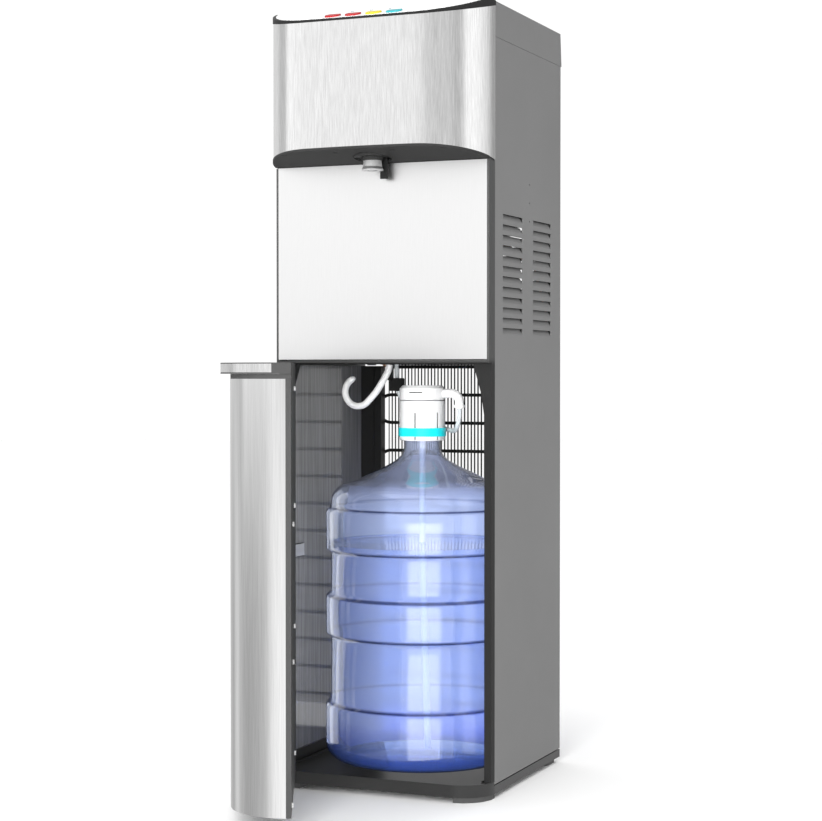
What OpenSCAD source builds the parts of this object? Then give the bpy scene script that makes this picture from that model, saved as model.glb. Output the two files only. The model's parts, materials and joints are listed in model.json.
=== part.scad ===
// Floor-standing, bottom-loading water cooler with its cabinet door swung open.
// Millimetres. X is across, Y runs from front to back, Z is up.
// Y = 0 is the plane of the dispensing alcove, X = 0 the middle of the cabinet,
// and Z = 0 the floor that the feet stand on.

/* [Cabinet] */
// Overall width of the cabinet
cabinet_w = 305; // [295:1:320]
// Height of the top cover above the floor
cabinet_h = 1034; // [1020:1:1060]
// Back edge of the side panels, behind the alcove plane
cabinet_back = 287; // [285:1:295]
// Front edge of the side panels, behind the alcove plane
panel_front = 21.6; // [18:0.2:24]
// Thickness of the painted steel side panels
sheet_t = 1.2; // [1:0.1:1.6]
// Number of louvres in each of the two columns of a side panel
louvre_rows = 12; // [6:1:12]
// Height from one louvre to the next
louvre_pitch = 13.55; // [12:0.05:13.6]

/* [Bottle compartment] */
// Underside of the shelf above the bottle
compartment_top = 565.5; // [560:0.5:567]
// Diameter of the bottle over its rings
bottle_d = 267; // [260:1:268]
// Distance of the bottle's axis behind the alcove plane
bottle_y = 143.5; // [143:0.5:144]
// Level of the water above the floor
water_level = 321; // [200:1:360]

/* [Door] */
// Angle of the open door from its closed position, in degrees
door_angle = 64.65; // [0:0.05:100]
// Lowest edge of the door
door_bottom = 24.5; // [24:0.5:30]
// Top of the door's steel skin
door_top = 547; // [540:1:547]

/* [Head] */
// Slope of the control panel, in degrees
panel_slope = 19.1; // [15:0.1:22]
// Slope of the head's underside, in degrees
underside_slope = 9.4; // [6:0.1:12]
// Distance from one button to the next
button_pitch = 28.8; // [26:0.1:30]

/* [Condenser] */
// Number of straight rows in the condenser tube
condenser_rows = 13; // [7:2:13]
// Height from one row to the next
condenser_pitch = 40.8; // [38:0.1:41]
// Distance between the condenser's wires
wire_pitch = 5.2; // [5.2:0.2:8]

/* [Hidden] */

$fn = 64;
half_w = cabinet_w / 2;
front_r = 1600;          // radius of the wide front arc of the head and door
top_seam = 988;          // where the top cover meets the side panels
panel_bottom = 19.4;     // lowest edge of the side panels
alcove_low = 570.6;      // lowest edge of the alcove panel
alcove_high = 829;       // where the head's underside meets the alcove plane
toe_front = -21;         // front edge of the base
frame_front = 9;         // front face of the frame around the bottle compartment
post_inner = 142.7;      // half the clear width of the compartment's opening
pan_floor = 22;          // where the bottle stands
shelf_top = 573;         // top of the shelf that carries the cooling system
tank = [-62, 166];       // axis of the cold tank
hot = [-86, 88];         // axis of the hot tank

head_w = 153;            // half width of the head
head_corner = 82;        // radius of the head's front corners
head_corner_y = 12;
door_w = 150.5;          // half width of the door
door_corner = 75;
door_corner_y = 6;
ledge_w = 151.5;
ledge_corner = 82;
ledge_corner_y = 1;
hinge = [-142.9, -18];   // axis of the door's two hinge pins
hinge_pin_r = 2;
hinge_gap = 0.05;        // running clearance of each pin
strap_r = 4.6;           // half width of the straps that carry the pins
door_back = 6.5;         // inner face of the closed door
ledge_low = 553;
ledge_high = 566.4;

steel_colour = "gainsboro";
dark_plastic = [0.19, 0.19, 0.2];
painted_grey = [0.42, 0.42, 0.43];

// ---------------------------------------------------------------- outlines

function arc_centre_y(w, r, cy) = cy + sqrt(pow(front_r - r, 2) - pow(w - r, 2));

// A D with a wide front arc, round front corners and a straight back, seen from above.
module d_outline(w, r, cy, back, inset = 0) {
    a = w - r;
    oy = arc_centre_y(w, r, cy);
    meet_x = a * (front_r - inset) / (front_r - r);
    intersection() {
        union() {
            intersection() {
                translate([0, oy]) circle(r = front_r - inset, $fn = 720);
                translate([-meet_x, -200]) square([2 * meet_x, 400]);
            }
            for (side = [-1, 1]) translate([side * a, cy]) circle(r = r - inset, $fn = 128);
            translate([inset - w, cy]) square([2 * (w - inset), 400]);
        }
        translate([-200, -200]) square([400, 200 + back]);
    }
}

// A D-shaped wall of the given thickness.
module d_wall(w, r, cy, back, inset, t) {
    difference() {
        d_outline(w, r, cy, back, inset);
        d_outline(w, r, cy, back + 50, inset + t);
    }
}

module head_outline(back, inset = 0) d_outline(head_w, head_corner, head_corner_y, back, inset);
module door_outline(back, inset = 0) d_outline(door_w, door_corner, door_corner_y, back, inset);
module ledge_outline(back, inset = 0) {
    d_outline(ledge_w, ledge_corner, ledge_corner_y, back, inset);
}

// Everything above a plane that climbs towards the back, or below it.
module above_slope(z, angle) {
    translate([-300, 0, z]) rotate([angle, 0, 0]) translate([0, -500, 0]) cube([600, 1000, 400]);
}
module below_slope(z, angle) {
    translate([-300, 0, z]) rotate([angle, 0, 0]) translate([0, -500, -600]) cube([600, 1000, 600]);
}

// A flat box given by its low and high corners.
module block(low, high) translate(low) cube(high - low);

// A plate with four round corners, standing between two heights.
module round_plate(x, y, r, z_low, z_high) {
    translate([0, 0, z_low]) linear_extrude(z_high - z_low) {
        translate([x[0] + r, y[0]]) square([x[1] - x[0] - 2 * r, y[1] - y[0]]);
        translate([x[0], y[0] + r]) square([x[1] - x[0], y[1] - y[0] - 2 * r]);
        for (cx = [x[0] + r, x[1] - r], cy = [y[0] + r, y[1] - r]) translate([cx, cy]) circle(r = r);
    }
}

// A straight round rod between two points that differ along one axis.
module rod_x(y, z, from, to, r) {
    translate([from, y, z]) rotate([0, 90, 0]) cylinder(h = to - from, r = r);
}
module rod_y(x, z, from, to, r) {
    translate([x, from, z]) rotate([-90, 0, 0]) cylinder(h = to - from, r = r);
}
module rod_z(x, y, from, to, r) {
    translate([x, y, from]) cylinder(h = to - from, r = r);
}

// A tube bend of the given angle in the local XY plane, starting on +X.
module bend(bend_r, r, angle) {
    rotate_extrude(angle = angle, $fn = 96) translate([bend_r, 0]) circle(r = r, $fn = 32);
}

// Two directions square to a tube's own direction.
function ring_frame(d) =
    let (u = cross(d, [0.35, 0.9, -0.25]), v = cross(d, u)) [u / norm(u), v / norm(v)];

// A flexible tube swept along a list of points.
module run(points, r, sides = 8) {
    n = len(points);
    function direction(i) = points[min(i + 1, n - 1)] - points[max(i - 1, 0)];
    rings = [for (i = [0 : n - 1], s = [0 : sides - 1])
        let (f = ring_frame(direction(i)), a = 360 * s / sides)
        points[i] + r * (cos(a) * f[0] + sin(a) * f[1])];
    walls = [for (i = [0 : n - 2], s = [0 : sides - 1])
        let (k = (s + 1) % sides)
        [i * sides + s, (i + 1) * sides + s, (i + 1) * sides + k, i * sides + k]];
    start = [[for (s = [0 : sides - 1]) s]];
    end = [[for (s = [sides - 1 : -1 : 0]) (n - 1) * sides + s]];
    polyhedron(points = rings, faces = concat(walls, start, end), convexity = 10);
}

// Points of a quarter bend or any other arc in the plane of Y = y.
function arc_points(x, y, z, r, from, to, steps) =
    [for (i = [0 : steps])
        let (a = from + (to - from) * i / steps)
        [x + r * cos(a), y, z + r * sin(a)]];

// Turns a piece modelled on the closed door to the door's open position.
module opened() {
    translate([hinge[0], hinge[1], 0]) rotate([0, 0, -door_angle]) translate([-hinge[0], -hinge[1], 0])
        children();
}

// ---------------------------------------------------------------- cabinet

module base_outline(inset) {
    corner = 45;
    x = half_w - inset;
    y = toe_front + inset;
    r = corner - inset;
    translate([-x, toe_front + corner]) square([2 * x, cabinet_back - toe_front - corner]);
    translate([-x + r, y]) square([2 * (x - r), corner]);
    for (side = [-1, 1]) translate([side * (x - r), y + r]) circle(r = r, $fn = 96);
}

module base_pan() {
    lip = 3;
    color(dark_plastic) {
        difference() {
            translate([0, 0, 7]) linear_extrude(pan_floor + 1.3 - 7) base_outline(0);
            translate([0, 0, pan_floor]) linear_extrude(5) intersection() {
                base_outline(lip);
                translate([-post_inner, -30]) square([2 * post_inner, 300]);
            }
            // slots for the side panels
            for (side = [-1, 1]) {
                block([side * 151 - 2, panel_front - 1, 18], [side * 151 + 2, 290, 30]);
            }
            // pocket of the door's lower hinge strap
            pocket_r = strap_r + 0.1;
            rod_z(hinge[0], hinge[1], 19.95, 30, pocket_r);
            block([hinge[0] - pocket_r, hinge[1], 19.95], [hinge[0] + pocket_r, frame_front + 0.1, 30]);
        }
        // rails that guide the bottle in
        for (side = [-1, 1]) {
            block([side * 139 - 1.2, 12, pan_floor - 0.5], [side * 139 + 1.2, 255, pan_floor + 3]);
            step = side * 144.4;
            block([step - 1.6, panel_front + 0.6, pan_floor], [step + 1.6, 260, pan_floor + 16.5]);
        }
    }
}

module feet() {
    color("dimgray") {
        intersection() {
            linear_extrude(7) base_outline(2);
            for (side = [-1, 1]) block([side * 130 - 20, -30, 0], [side * 130 + 20, 28, 7]);
        }
        for (side = [-1, 1]) {
            x = [side * 128 - 20, side * 128 + 20];
            round_plate(x, [246, 282], 8, 0, 7);
        }
    }
}

module front_frame() {
    low = pan_floor + 1.3;
    color(dark_plastic) {
        // posts and top rail of the compartment
        for (side = [-1, 1]) {
            mirrored = side < 0 ? 1 : 0;
            mirror([mirrored, 0, 0]) {
                block([post_inner, frame_front, low], [half_w, panel_front, alcove_low]);
                // corner gusset
                edge = post_inner + 1;
                depth = panel_front - frame_front;
                translate([0, panel_front, 0]) rotate([90, 0, 0]) linear_extrude(depth)
                    polygon([[edge, 490], [edge, 567], [127, 567], [128, 563], [138, 528]]);
                // side strips beside the alcove
                difference() {
                    block([147.5, 0, alcove_low - 0.5], [half_w, panel_front, alcove_high + 3]);
                    block([140, -1, alcove_low + 1], [149.8, 1.3, alcove_high + 5]);
                    block([151, -1, alcove_high - 1], [160, panel_front + 1, alcove_high + 5]);
                }
            }
        }
        block([-half_w, frame_front, compartment_top], [half_w, panel_front, alcove_low]);
        block([-half_w, 0, ledge_high + 1], [half_w, panel_front, alcove_low]);
        block([-151, 5, alcove_high - 12], [151, panel_front, alcove_high + 3]);
    }
    // catch plate of the door, on the left post
    color("lightgray") block([-145.9, panel_front - 4, 303], [-143.4, 64, 320.5]);
}

module alcove_panel() {
    color("whitesmoke") block([-149.5, 0, alcove_low + 1.4], [149.5, 1.2, alcove_high - 0.6]);
}

module louvre_column(y_front, length) {
    for (row = [0 : louvre_rows - 1]) {
        z = 762 - row * louvre_pitch;
        translate([half_w - sheet_t, y_front, z - 8.2]) rotate([0, -28, 0]) cube([1, length, 8.6]);
    }
}

module side_panel() {
    columns = [[50.6, 77.7], [169.4, 76.7]];
    fold = half_w - 12;
    inside = half_w - sheet_t / 2;
    difference() {
        union() {
            difference() {
                block([half_w - sheet_t, panel_front, panel_bottom], [half_w, cabinet_back, top_seam]);
                for (c = columns, row = [0 : louvre_rows - 1]) {
                    z = 762 - row * louvre_pitch;
                    block([half_w - 3, c[0] + 0.6, z - 7.4], [half_w + 1, c[0] + c[1] - 0.6, z]);
                }
            }
            // folded edges
            fold_front = panel_front + 0.2;
            block([fold, fold_front, shelf_top + 2], [inside, fold_front + sheet_t, alcove_high]);
            block([fold, cabinet_back - sheet_t, panel_bottom + 20], [inside, cabinet_back, 560]);
            for (c = columns) louvre_column(c[0], c[1]);
        }
        for (z = [809, 784, 759]) rod_x(155.2, z, half_w - 4, half_w + 4, 1.4);
        block([half_w, 0, 0], [half_w + 9, 300, 1000]);
    }
}
module side_panel_right() color(painted_grey) side_panel();
module side_panel_left() color(painted_grey) mirror([1, 0, 0]) side_panel();

module top_cover() {
    wall = 2.5;
    lean = 6;
    inner = half_w - wall;
    color(painted_grey) difference() {
        union() {
            block([-half_w, panel_front + 0.4, top_seam + 0.4], [half_w, cabinet_back + 4, cabinet_h]);
            // neck that runs forward behind the head
            block([-half_w + 3, 0.4, 1024], [half_w - 3, panel_front + 1, cabinet_h]);
        }
        under = cabinet_h - wall;
        block([-inner, panel_front + 3, top_seam - 1], [inner, cabinet_back - wall - 2, under]);
        block([-inner + 3, -1, 1000], [inner - 3, panel_front + 4, under]);
        translate([-200, cabinet_back + 4, top_seam]) rotate([lean, 0, 0]) cube([400, 20, 60]);
    }
}

module side_liners() {
    color([0.08, 0.08, 0.09]) for (side = [-1, 1]) {
        x = side * 147;
        block([x - 0.8, panel_front + 1, pan_floor + 1.35], [x + 0.8, 261, compartment_top - 1]);
    }
}

module rear_posts() {
    color([0.06, 0.06, 0.06]) for (side = [0, 1]) mirror([side, 0, 0]) {
        block([115, 262, pan_floor + 1.35], [148.5, 263.5, compartment_top - 1]);
        block([115, 262, pan_floor + 1.35], [116.5, 277, compartment_top - 1]);
        // stiffening fold
        block([126, 260.6, pan_floor + 1.35], [129, 262.5, compartment_top - 1]);
    }
}

module partition_shelf() {
    color("silver") difference() {
        union() {
            block([-150.8, panel_front + 2, alcove_low + 0.4], [150.8, cabinet_back - 3.5, shelf_top]);
            for (side = [-1, 1]) {
                x = side * 149.5;
                flange_top = shelf_top + 18;
                block([x - 0.8, panel_front + 3, alcove_low + 1], [x + 0.8, cabinet_back - 4, flange_top]);
            }
            block([-146, cabinet_back - 5, compartment_top], [146, cabinet_back - 3.5, shelf_top]);
        }
        // passages for the hose and for the two lines of the condenser
        rod_z(-48, 165, 560, 590, 6);
        block([-132, 274, 560], [-111.5, 290, 600]);
        block([129, 274, 560], [142, 290, 600]);
        for (y = [60, 230]) translate([0, 0, 540]) linear_extrude(50) for (x = [-60 : 20 : 20]) {
            translate([x, y]) circle(r = 5, $fn = 32);
        }
    }
}

module rear_panel() {
    y = cabinet_back - sheet_t;
    color(painted_grey) difference() {
        union() {
            block([-150.9, y - 0.6, 620], [150.9, y + 0.6, top_seam - 0.5]);
            block([-146, y - 0.6, 574], [146, y + 0.6, 621]);
            // brackets that carry the cold tank
            for (x = [-120, -28]) {
                block([x - 9, 120, 811], [x + 9, y, 813.9]);
                block([x - 9, y - 3, 780], [x + 9, y, 813.9]);
            }
        }
        // vent slots in front of the compressor
        for (row = [0 : 9], x = [-70, 70]) {
            block([x - 45, 280, 650 + row * 12], [x + 45, 290, 654 + row * 12]);
        }
        block([-31, 280, 889], [31, 290, 931]);
        rod_y(-90, 905, 280, 290, 8);
        rod_y(90, 905, 280, 290, 9);
        for (x = [-130, 130], z = [600, 800, 970]) rod_y(x, z, 280, 290, 1.8);
    }
}

// ---------------------------------------------------------------- cooling system

condenser_x = 108;       // half length of the straight rows
condenser_y = 283.6;
condenser_top = 566 - 3;

module condenser_tube() {
    r = 2.4;
    bend_r = condenser_pitch / 2;
    rows = condenser_rows - 1;
    color([0.07, 0.07, 0.07]) {
        for (row = [0 : rows]) {
            z = condenser_top - row * condenser_pitch;
            rod_x(condenser_y, z, -condenser_x, condenser_x, r);
        }
        for (row = [0 : rows - 1]) {
            z = condenser_top - (row + 0.5) * condenser_pitch;
            side = row % 2 == 0 ? 1 : -1;
            translate([side * condenser_x, condenser_y, z])
                rotate([90, 0, 0]) rotate([0, 0, side > 0 ? -90 : 90]) bend(bend_r, r, 180);
        }
    }
}

module condenser_wires() {
    r = 0.8;
    low = condenser_top - (condenser_rows - 1) * condenser_pitch - 14;
    count = floor(2 * (condenser_x + 2) / wire_pitch);
    color([0.1, 0.1, 0.1]) for (i = [0 : count], side = [-1, 1]) {
        x = -condenser_x - 2 + i * wire_pitch + (side > 0 ? wire_pitch * 0.4 : 0);
        translate([x, condenser_y + side * (2.4 + r), low])
            cylinder(h = condenser_top + 6 - low, r = r, $fn = 16);
    }
}

module compressor() {
    x = 66;
    y = 196;
    base = shelf_top + 14;
    color([0.1, 0.1, 0.11]) {
        rod_z(x, y, base + 2, base + 96, 56);
        translate([x, y, base + 96]) intersection() {
            translate([0, 0, -40]) sphere(r = 69, $fn = 96);
            cylinder(h = 60, r = 56);
        }
        difference() {
            round_plate([x - 76, x + 76], [y - 44, y + 44], 10, base, base + 3);
            for (dx = [-66, 66], dy = [-34, 34]) rod_z(x + dx, y + dy, base - 5, base + 9, 8);
        }
        rod_z(x - 30, y + 58, base + 40, base + 92, 4);
        rod_y(x - 30, base + 44, y + 40, y + 60, 4);
        rod_z(x - 39, y - 45, base + 40, base + 92, 4);
    }
}

module compressor_grommets() {
    x = 66;
    y = 196;
    color("black") for (dx = [-66, 66], dy = [-34, 34]) {
        rod_z(x + dx, y + dy, shelf_top, shelf_top + 14, 10);
        rod_z(x + dx, y + dy, shelf_top + 14, shelf_top + 17.5, 8);
        rod_z(x + dx, y + dy, shelf_top + 17, shelf_top + 22, 10);
    }
}

module start_relay() {
    color("dimgray") difference() {
        block([46, 122, 620], [86, 144, 660]);
        translate([66, 196, 600]) cylinder(h = 80, r = 56);
    }
}

module refrigerant_lines() {
    header_x = tank[0] + 61.6;
    back = tank[1];
    outlet_z = condenser_top - (condenser_rows - 1) * condenser_pitch;
    color([0.72, 0.43, 0.28]) {
        // evaporator coil wrapped round the cold tank, and its header
        for (turn = [0 : 7]) translate([tank[0], back, 832 + turn * 11]) {
            rotate_extrude($fn = 96) translate([61.6, 0]) circle(r = 3, $fn = 20);
        }
        block([header_x - 2.6, back - 2, 829], [header_x + 2.5, back + 9, 911]);
        // suction line
        run([
            [27, 151, 679], [27, 151, 700], [22, 154, 750], [6, 160, 790],
            [header_x, back, 806], [header_x, back, 831]
        ], 3);
        // discharge line
        run([
            [36, 254, 679], [36, 254, 688], [30, 262, 698], [8, 272, 704], [-60, 277, 698],
            [-108, 278, 680], [-124, 278, 640], [-124, 279, 590], [-124, 280.6, 573],
            [-119, 282.6, 565.6], [-114, condenser_y, condenser_top], [-108, condenser_y, condenser_top]
        ], 1.8);
        // condenser outlet, filter drier and capillary
        run([
            [108, condenser_y, outlet_z], [114, condenser_y, outlet_z], [128, 282, 76],
            [134, 281, 84], [136, 280.6, 96], [136, 280.6, 575],
            [134, 279, 640], [118, 277, 700], [80, 276, 735], [20, 275, 740],
            [-20, 272, 720], [-50, 264, 690], [-60, 262, 690], [-60, 262, 701]
        ], 1.8);
        rod_z(-60, 262, 700, 770, 9);
        run([
            [-60, 262, 769], [-58, 258, 790], [-40, 236, 804], [-10, 196, 806],
            [header_x, back + 6, 810], [header_x, back + 6, 831]
        ], 1.6);
    }
}

module cold_tank() {
    x = tank[0];
    y = tank[1];
    color(steel_colour) difference() {
        union() {
            rod_z(x, y, 822, 924, 58);
            rod_z(x, y, 924, 930, 50);
            rod_z(x, y, 816, 823, 44);
            rod_z(x, y - 32, 800, 820, 5);
        }
        rod_z(x, y, 824, 922, 56.5);
    }
}

module cold_tank_insulation() {
    x = tank[0];
    y = tank[1];
    color("white") difference() {
        union() {
            rod_z(x, y, 814, 950, 84);
            rod_z(x, y, 950, 956, 70);
        }
        rod_z(x, y, 827, 914.5, 65.2);
        rod_z(x, y, 815, 931, 58.4);
        rod_z(x, y - 32, 800, 824, 6);
        // passages for the lines
        block([x + 56, y - 5, 812], [x + 67, y + 12, 842]);
        rod_z(x - 36, y, 925, 960, 5);
    }
}

module hot_tank() {
    x = hot[0];
    y = hot[1];
    color(steel_colour) {
        difference() {
            union() {
                rod_z(x, y, 600, 734, 38);
                rod_z(x, y, 734, 740, 30);
                rod_z(x, y, 594, 601, 30);
                rod_z(x, y, 739, 760, 5);
                rod_y(x, 640, y - 40, y - 28, 9);
            }
            rod_z(x, y, 602, 732, 36.5);
        }
        // stand
        difference() {
            rod_z(x, y, shelf_top + 0.05, 595, 30);
            rod_z(x, y, shelf_top - 1, 593, 28);
        }
    }
}

module hot_tank_jacket() {
    x = hot[0];
    y = hot[1];
    color("lightgray") difference() {
        rod_z(x, y, 604, 730, 50);
        rod_z(x, y, 603, 731, 38.2);
        block([x - 14, y - 58, 620], [x + 14, y - 32, 660]);
    }
}

module water_pump() {
    color([0.15, 0.16, 0.2]) {
        rod_x(70, 606, 6, 74, 19);
        rod_x(70, 606, 74, 104, 23);
        block([10, 50, shelf_top], [100, 90, shelf_top + 4]);
        block([20, 56, shelf_top + 3], [60, 84, 600]);
        block([78, 56, shelf_top + 3], [100, 84, 600]);
        rod_z(96, 70, 620, 642, 4.5);
        rod_y(90, 612, 84, 110, 4.5);
    }
}

module dispense_valves() {
    color("ivory") for (x = [-30, 6, 42]) {
        block([x, 40, 868], [x + 26, 66, 894]);
        rod_z(x + 13, 53, 892, 918, 9);
        rod_z(x + 13, 53, 856, 870, 4);
        rod_y(x + 13, 881, 64, 80, 4);
    }
    // bracket that stands on the frame's upper rail
    color("silver") {
        block([-34, 38.2, 866], [72, 40.5, 892]);
        for (x = [-34, 27, 66]) {
            block([x, 38.2, 832.05], [x + 6, 40.5, 868]);
            block([x, 12, 832.05], [x + 6, 40.5, 834]);
        }
    }
}

module water_lines() {
    r = 3.6;
    valve_low = 856;
    color([0.85, 0.87, 0.9]) {
        // pump to cold tank
        run([
            [96, 70, 642], [96, 70, 760], [66, 84, 940], [50, 90, 962], [-40, 130, 970],
            [-90, 160, 968], [tank[0] - 36, tank[1], 960], [tank[0] - 36, tank[1], 930]
        ], r);
        // cold tank and hot tank to the valves
        run([
            [tank[0], tank[1] - 32, 800], [tank[0], tank[1] - 32, 794], [-40, 120, 788], [0, 100, 796],
            [17, 95, 850], [19, 92, 872], [19, 90, 881], [19, 80, 881]
        ], r);
        run([
            [hot[0], hot[1], 760], [hot[0], hot[1], 772], [-64, 78, 792], [-36, 76, 820],
            [-20, 84, 856], [-17, 88, 872], [-17, 88, 881], [-17, 80, 881]
        ], r);
        // valves to the spout
        run([
            [-17, 53, valve_low], [-17, 53, 849], [-11, 36, 846], [-4, 12, 850], [-2, 2, 857],
            [0, -14, 863], [0, -22, 863], [0, spout_y, 857], [0, spout_y, 850]
        ], r);
        run([[19, 53, valve_low], [19, 53, 849], [14, 36, 846], [4, 10, 850], [-2, 2, 857]], r);
        run([[55, 53, valve_low], [55, 53, 849], [44, 36, 846], [14, 12, 850], [-2, 2, 857]], r);
    }
}

module on_board() translate([0, -36, 1009.5]) rotate([panel_slope, 0, 0]) children();

module control_board() {
    color("darkgreen") on_board() block([-62, -22, -2], [62, 26, -0.4]);
    color("black") on_board() {
        for (x = [-52, -20, 16, 44]) block([x, 12, -0.6], [x + 8, 20, 3]);
        block([-40, -16, -12], [-12, 4, -1.8]);
        block([6, -12, -9], [24, 8, -1.8]);
    }
    // pillars that hang the board from the panel
    color("ivory") on_board() for (x = [-59.5, 59.5], y = [-17, 22]) rod_z(x, y, -0.6, pillar_h, 2.4);
}

// ---------------------------------------------------------------- head

pillar_h = 9.15;         // length of the control board's pillars
shell_top_z = 1023;      // height of the shell's sloping top edge at the alcove plane
shell_top_slope = 13;
panel_z = 1034.2;        // height of the control panel's surface at the alcove plane
spout_y = -25;           // axis of the spout

module head_shell() {
    color(steel_colour) difference() {
        translate([0, 0, 800]) linear_extrude(260)
            d_wall(head_w, head_corner, head_corner_y, panel_front - 0.2, 0, 1.2);
        above_slope(shell_top_z, shell_top_slope);
        below_slope(alcove_high + 3.4, -underside_slope);
    }
}

// A slab of the given thickness that rests on a sloping plane.
module sloped_slab(z, angle, t) {
    translate([-300, 0, z]) rotate([angle, 0, 0]) translate([0, -500, 0]) cube([600, 1000, t]);
}

module head_underside() {
    rim_t = 3.2;
    color([0.16, 0.16, 0.16]) difference() {
        union() {
            // floor plate of the head with its proud rim
            intersection() {
                translate([0, 0, 780]) linear_extrude(120) head_outline(-0.3, -1);
                sloped_slab(alcove_high, -underside_slope, rim_t);
            }
            // locating wall inside the shell
            intersection() {
                translate([0, 0, 780]) linear_extrude(140)
                    d_wall(head_w, head_corner, head_corner_y, -0.3, 1.5, 2);
                sloped_slab(alcove_high + rim_t - 0.5, -underside_slope, 12);
            }
        }
        for (x = [-112, -37, 41, 112]) block([x - 4, -62, 820], [x + 4, -56, 839]);
        translate([0, spout_y, 800]) cylinder(h = 60, r = 25.4, $fn = 96);
        block([4, -16, 800], [16.2, -3, 850]);
    }
}

module panel_gasket() {
    color([0.09, 0.09, 0.09]) difference() {
        translate([0, 0, 950]) linear_extrude(120)
            d_wall(head_w, head_corner, head_corner_y, panel_front - 0.4, -0.8, 4);
        below_slope(shell_top_z + 0.1, shell_top_slope);
        above_slope(panel_z - 0.3, panel_slope);
        block([-200, -300, cabinet_h], [200, 300, 1200]);
        block([-half_w + 2.8, 0.2, 900], [half_w - 2.8, 300, 1100]);
    }
}

module button_cut(x, gap) {
    translate([x, 0, 0]) intersection() {
        translate([0, -57, -20]) cylinder(h = 40, r = 10.5 + gap);
        block([-20, -80, -20], [20, -51 + gap, 20]);
    }
}

// Places a piece in the control panel's own plane, with its surface at Z = 0.
module on_panel() {
    translate([0, 0, panel_z]) rotate([panel_slope, 0, 0]) children();
}

module control_panel() {
    t = 2.4;
    color("white") difference() {
        translate([0, 0, 950]) linear_extrude(120) head_outline(-0.2, 3.6);
        above_slope(panel_z, panel_slope);
        below_slope(panel_z - t, panel_slope);
        on_panel() for (i = [0 : 3]) button_cut((i - 1.5) * button_pitch, 0.4);
        on_panel() for (x = [-27, 0, 27]) translate([x, -30, -9]) cylinder(h = 20, r = 2);
    }
}

module indicator_lights() {
    color("lightcyan") on_panel() for (x = [-27, 0, 27]) translate([x, -30, -5.4]) {
        cylinder(h = 5.8, r = 1.9);
        cylinder(h = 2.6, r = 3);
    }
}

module button(i) {
    on_panel() {
        intersection() {
            button_cut((i - 1.5) * button_pitch, 0);
            block([-80, -90, -4.4], [80, 0, 1.6]);
        }
        intersection() {
            button_cut((i - 1.5) * button_pitch, 1.6);
            block([-80, -90, -6.6], [80, 0, -4.4]);
        }
    }
}
module button_hot() color("firebrick") button(0);
module button_extra_hot() color("brown") button(1);
module button_room() color("gold") button(2);
module button_cold() color("mediumturquoise") button(3);

module spout_body() {
    color([0.2, 0.2, 0.2]) difference() {
        union() {
            rod_z(0, spout_y, 834.6, 839, 25);
            rod_z(0, spout_y, 830, 836, 14);
            rod_z(0, spout_y, 838.5, 850, 10);
        }
        rod_z(0, spout_y, 820, 842, 6);
        rod_z(0, spout_y, 841, 860, 3);
        block([4, -16, 800], [16.2, -3, 860]);
    }
}

module spout_nozzle() {
    color("silver") translate([0, spout_y, 0]) rotate_extrude($fn = 96) difference() {
        polygon([[7, 817], [14, 817], [14, 818.4], [12.4, 822], [11.8, 829.9], [7, 829.9]]);
        translate([0, 800]) square([7, 60]);
    }
}

paddle_pivot = [10.1, -9.5, 841];

module paddle_hinge() {
    x = paddle_pivot[0];
    y = paddle_pivot[1];
    z = paddle_pivot[2];
    color("silver") {
        rod_x(y, z, x - 11, x + 11, 1.5);
        for (ear = [x - 8.5, x + 8.5]) block([ear - 1.5, y - 4, z - 1.9], [ear + 1.5, y + 4, z + 10]);
        block([x - 10, y - 4, z + 9], [x + 10, y + 4, z + 11]);
    }
}

module dispense_paddle() {
    x = paddle_pivot[0];
    y = paddle_pivot[1];
    z = paddle_pivot[2];
    color([0.05, 0.05, 0.05]) difference() {
        union() {
            block([x - 4.8, y - 1.6, 807.5], [x + 4.8, y + 1.6, z]);
            rod_x(y, z, x - 4.8, x + 4.8, 3.6);
            block([x - 4.8, y - 3.2, 807.5], [x + 4.8, y - 1.5, 816.4]);
        }
        rod_x(y, z, x - 20, x + 20, 1.55);
    }
}

// ---------------------------------------------------------------- rear fittings

switch_z = 910;
rocker_tilt = 9;

module switch_housing() {
    color([0.1, 0.1, 0.1]) difference() {
        union() {
            block([-30.5, 262, 889.5], [30.5, 287, 930.5]);
            round_plate_y([-34, 34], [886, 934], 4, 286.4, 288.4);
        }
        block([-9.4, 266, 896], [9.4, 292, 924]);
    }
    color("silver") rod_x(279, switch_z, -10, 10, 1.5);
}

// A plate with four round corners, standing across Y.
module round_plate_y(x, z, r, y_low, y_high) {
    translate([0, y_high, 0]) rotate([90, 0, 0]) linear_extrude(y_high - y_low) {
        translate([x[0] + r, z[0]]) square([x[1] - x[0] - 2 * r, z[1] - z[0]]);
        translate([x[0], z[0] + r]) square([x[1] - x[0], z[1] - z[0] - 2 * r]);
        for (cx = [x[0] + r, x[1] - r], cz = [z[0] + r, z[1] - r]) translate([cx, cz]) circle(r = r);
    }
}

module heat_switch() {
    color("firebrick") translate([0, 279, switch_z]) rotate([rocker_tilt, 0, 0]) difference() {
        rod_x(0, 0, -8.8, 8.8, 11.5);
        block([-20, 6.4, -20], [20, 30, 20]);
        block([-20, -30, -20], [20, -6, 20]);
        rod_x(0, 0, -20, 20, 1.55);
    }
}

module power_gland() {
    color("black") difference() {
        union() {
            rod_y(-90, 905, 272, 287, 7.8);
            rod_y(-90, 905, 286.4, 290, 12);
            rod_y(-90, 905, 289.5, 304, 6.4);
        }
        rod_y(-90, 905, 260, 310, 3.6);
    }
}

module drain_spigot() {
    color("white") difference() {
        union() {
            rod_y(90, 905, 262, 287, 8.8);
            rod_y(90, 905, 286.4, 289.5, 13);
            rod_y(90, 905, 289, 302, 7);
        }
        rod_y(90, 905, 250, 310, 4);
    }
}

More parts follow.
